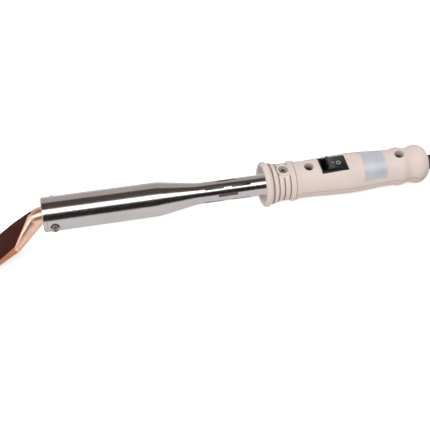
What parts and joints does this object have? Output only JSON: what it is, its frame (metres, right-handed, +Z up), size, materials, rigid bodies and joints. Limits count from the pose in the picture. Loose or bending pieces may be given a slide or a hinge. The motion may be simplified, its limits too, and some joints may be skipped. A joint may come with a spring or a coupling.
{
  "type": "electric soldering iron",
  "caption": "Heavy mains soldering iron with a bent copper chisel bit, slotted steel barrel, two-part grip, rocker switch and cord with plug.",
  "frame": {"origin": "on the surface that the iron lies on, under the middle of the iron without its cord", "axes": "+X from the bit to the cord, +Z up with the switch on top, +Y away from the camera of the picture; the iron's own plane of symmetry is y = 0"},
  "size_m": [0.6147, 0.0788, 0.0546],
  "materials": {
    "copper": "worn bright copper",
    "plated_screw": "bright nickel plate",
    "barrel_steel": "polished stainless",
    "dark_steel": "machined, darkened by heat",
    "mica": "layered mica",
    "heating_wire": "heat-tinted wire",
    "ceramic": "smooth ceramic",
    "glass_sleeve": "woven glass sleeve",
    "grip_plastic": "moulded, satin",
    "switch_black": "satin moulding",
    "rocker_black": "satin moulding",
    "brass": "stamped",
    "core_insulation": "smooth extrusion",
    "cord_rubber": "smooth black",
    "nylon": "smooth",
    "tie_plastic": "smooth",
    "plug_plastic": "moulded",
    "pin_metal": "plated"
  },
  "bodies": {
    "iron": {"barrel": "barrel_steel", "front_bush": "dark_steel", "heater_core": "dark_steel", "inner_mica": "mica", "heating_winding": "heating_wire", "outer_mica": "mica", "rear_insulator": "ceramic", "heater_tails": "heating_wire", "heater_leads": "glass_sleeve", "handle_upper": "grip_plastic", "handle_lower": "grip_plastic", "collar_screw": "plated_screw", "handle_screws": "plated_screw", "switch_body": "switch_black", "switch_tabs": "brass", "earth_screw": "brass", "earth_lead": "core_insulation", "terminal_block": "ceramic", "terminal_screws": "brass", "cord_inner": "cord_rubber", "cord_cores": "core_insulation", "cord_stop": "nylon", "cord_boot": "cord_rubber", "cord_lead": "cord_rubber", "cord_hank": "cord_rubber", "cord_tail": "cord_rubber", "cord_tie": "tie_plastic", "plug_body": "plug_plastic", "plug_pins": "pin_metal"},
    "bit": {"soldering_tip": "copper"},
    "near_screw": {"clamp_screw_near": "plated_screw"},
    "far_screw": {"clamp_screw_far": "plated_screw"},
    "switch_rocker": {"rocker": "rocker_black"}
  },
  "joints": [
    {"name": "bit_slide", "type": "slide", "parent": "iron", "child": "bit", "axis": [-0.9956, 0, 0.094], "range_m": [0, 0.05]},
    {"name": "near_screw_out", "type": "slide", "parent": "iron", "child": "near_screw", "axis": [0, -1, 0], "range_m": [0, 0.0025]},
    {"name": "far_screw_out", "type": "slide", "parent": "iron", "child": "far_screw", "axis": [0, 1, 0], "range_m": [0, 0.0025]},
    {"name": "rocker_tilt", "type": "hinge", "parent": "iron", "child": "switch_rocker", "pos_m": [0.0775, 0, 0.02909], "axis": [0, 1, 0], "range_deg": [-26, 0]}
  ]
}
